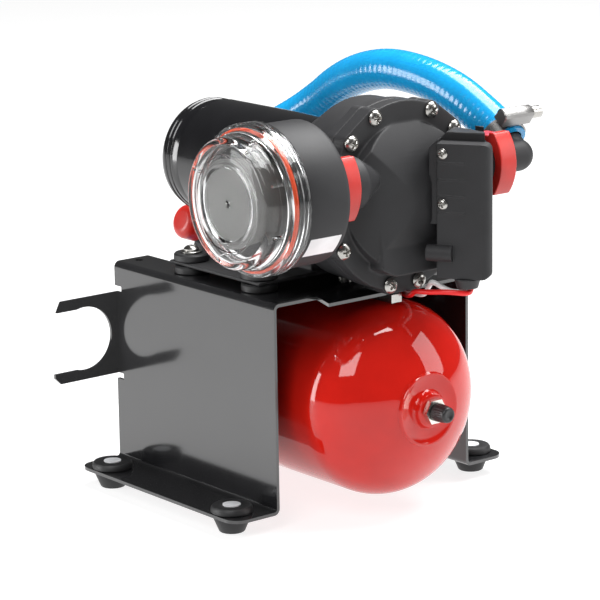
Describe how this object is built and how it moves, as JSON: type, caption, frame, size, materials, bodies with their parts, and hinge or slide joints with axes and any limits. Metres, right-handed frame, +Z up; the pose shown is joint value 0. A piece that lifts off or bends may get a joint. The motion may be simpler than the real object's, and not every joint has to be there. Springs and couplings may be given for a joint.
{
  "type": "caravan water pump",
  "caption": "Pressure water set: motor-driven diaphragm pump with clear-capped strainer and pressure switch on a folded steel carrier over a red accumulator tank.",
  "frame": {"origin": "on the floor at the centre of the carrier's four feet", "axes": "+Z up; -Y forward to the pump head and the tank's air valve; +X to the outlet side"},
  "size_m": [0.2483, 0.2835, 0.2695],
  "materials": {
    "carrier_paint": "semi-gloss black paint",
    "black_rubber": "matte black rubber",
    "white_nylon": "plain white nylon",
    "red_enamel": "gloss red enamel",
    "zinc_steel": "bright zinc",
    "nickel": "nickel plate",
    "valve_brass": "plain brass",
    "cap_black": "matte black",
    "head_plastic": "fine grained dark plastic",
    "motor_black": "gloss black",
    "machined_steel": "machined",
    "copper": "lacquered copper",
    "dark_ferrite": "plain",
    "inner_plastic": "plain",
    "clear_plastic": "clear",
    "orange_seal": "satin",
    "screen_mesh": "fine mesh",
    "red_plastic": "satin red",
    "blue_hose": "blue flexible plastic",
    "red_wire": "red insulation",
    "white_wire": "white insulation"
  },
  "bodies": {
    "set": {"carrier_frame": "carrier_paint", "floor_feet": "black_rubber", "pump_bobbins": "black_rubber", "lead_grommet": "black_rubber", "diaphragm": "black_rubber", "check_valves": "black_rubber", "tank_membrane": "black_rubber", "foot_inserts": "white_nylon", "valve_plate": "white_nylon", "tank_front_shell": "red_enamel", "tank_back_shell": "red_enamel", "tank_rail": "zinc_steel", "rail_screws": "zinc_steel", "bobbin_screws": "zinc_steel", "head_screws": "zinc_steel", "motor_bolts": "zinc_steel", "switch_screws": "zinc_steel", "clamp_band": "zinc_steel", "valve_stem": "nickel", "valve_nut": "nickel", "drive_housing": "head_plastic", "front_cover": "head_plastic", "switch_base": "head_plastic", "switch_cover": "head_plastic", "strainer_body": "head_plastic", "outlet_elbow": "head_plastic", "branch_tee": "head_plastic", "tank_elbow": "head_plastic", "pump_base": "head_plastic", "motor_can": "motor_black", "motor_end_bell": "motor_black", "motor_sleeve": "motor_black", "motor_bearings": "machined_steel", "motor_magnets": "dark_ferrite", "brushes": "dark_ferrite", "brush_holder": "inner_plastic", "micro_switch": "inner_plastic", "strainer_seal": "orange_seal", "strainer_screen": "screen_mesh", "blue_hose": "blue_hose", "riser_hose": "blue_hose", "red_lead": "red_wire", "white_lead": "white_wire"},
    "rotor": {"motor_shaft": "machined_steel", "armature": "machined_steel", "windings": "copper", "commutator": "copper", "drive_cam": "machined_steel"},
    "wobble": {"wobble_plate": "white_nylon", "cam_bearing": "machined_steel"},
    "inlet_clip": {"inlet_clip": "red_plastic"},
    "outlet_clip": {"outlet_clip": "red_plastic"},
    "strainer_cap": {"strainer_cap": "clear_plastic"},
    "valve_cap": {"valve_cap": "cap_black"},
    "valve_pin": {"valve_pin": "valve_brass"},
    "clamp_screw": {"clamp_screw": "zinc_steel"},
    "pressure_adjuster": {"pressure_adjuster": "valve_brass"},
    "switch_plunger": {"switch_plunger": "white_nylon"},
    "branch_cap": {"branch_cap": "red_plastic"}
  },
  "joints": [
    {"name": "rotor_spin", "type": "hinge", "parent": "set", "child": "rotor", "pos_m": [0, 0, 0.1995], "axis": [0, -1, 0], "continuous": true},
    {"name": "wobble_rock", "type": "hinge", "parent": "set", "child": "wobble", "pos_m": [0, -0.084, 0.1995], "axis": [1, 0, 0], "range_deg": [-2, 2]},
    {"name": "inlet_clip_slide", "type": "slide", "parent": "set", "child": "inlet_clip", "axis": [0, -1, 0], "range_m": [0, 0.016]},
    {"name": "outlet_clip_slide", "type": "slide", "parent": "set", "child": "outlet_clip", "axis": [0, -1, 0], "range_m": [0, 0.016]},
    {"name": "strainer_cap_turn", "type": "hinge", "parent": "set", "child": "strainer_cap", "pos_m": [-0.12, -0.116, 0.214], "axis": [-1, 0, 0], "range_deg": [0, 60]},
    {"name": "valve_cap_turn", "type": "hinge", "parent": "set", "child": "valve_cap", "pos_m": [0, -0.145, 0.072], "axis": [0, -1, 0], "continuous": true},
    {"name": "valve_pin_press", "type": "slide", "parent": "set", "child": "valve_pin", "axis": [0, 1, 0], "range_m": [0, 0.0012], "stiffness_N_per_m": 200},
    {"name": "clamp_screw_turn", "type": "hinge", "parent": "set", "child": "clamp_screw", "pos_m": [0.0865, -0.1142, 0.2385], "axis": [1, 0, 0], "continuous": true},
    {"name": "pressure_adjuster_turn", "type": "hinge", "parent": "set", "child": "pressure_adjuster", "pos_m": [0.00478, -0.12681, 0.167], "axis": [0.5446, -0.8387, 0], "continuous": true},
    {"name": "switch_plunger_press", "type": "slide", "parent": "set", "child": "switch_plunger", "axis": [-0.8387, -0.5446, 0], "range_m": [0, 0.0006], "stiffness_N_per_m": 500},
    {"name": "branch_cap_pull", "type": "slide", "parent": "set", "child": "branch_cap", "axis": [-0.9397, 0, 0.342], "range_m": [0, 0.015]}
  ]
}
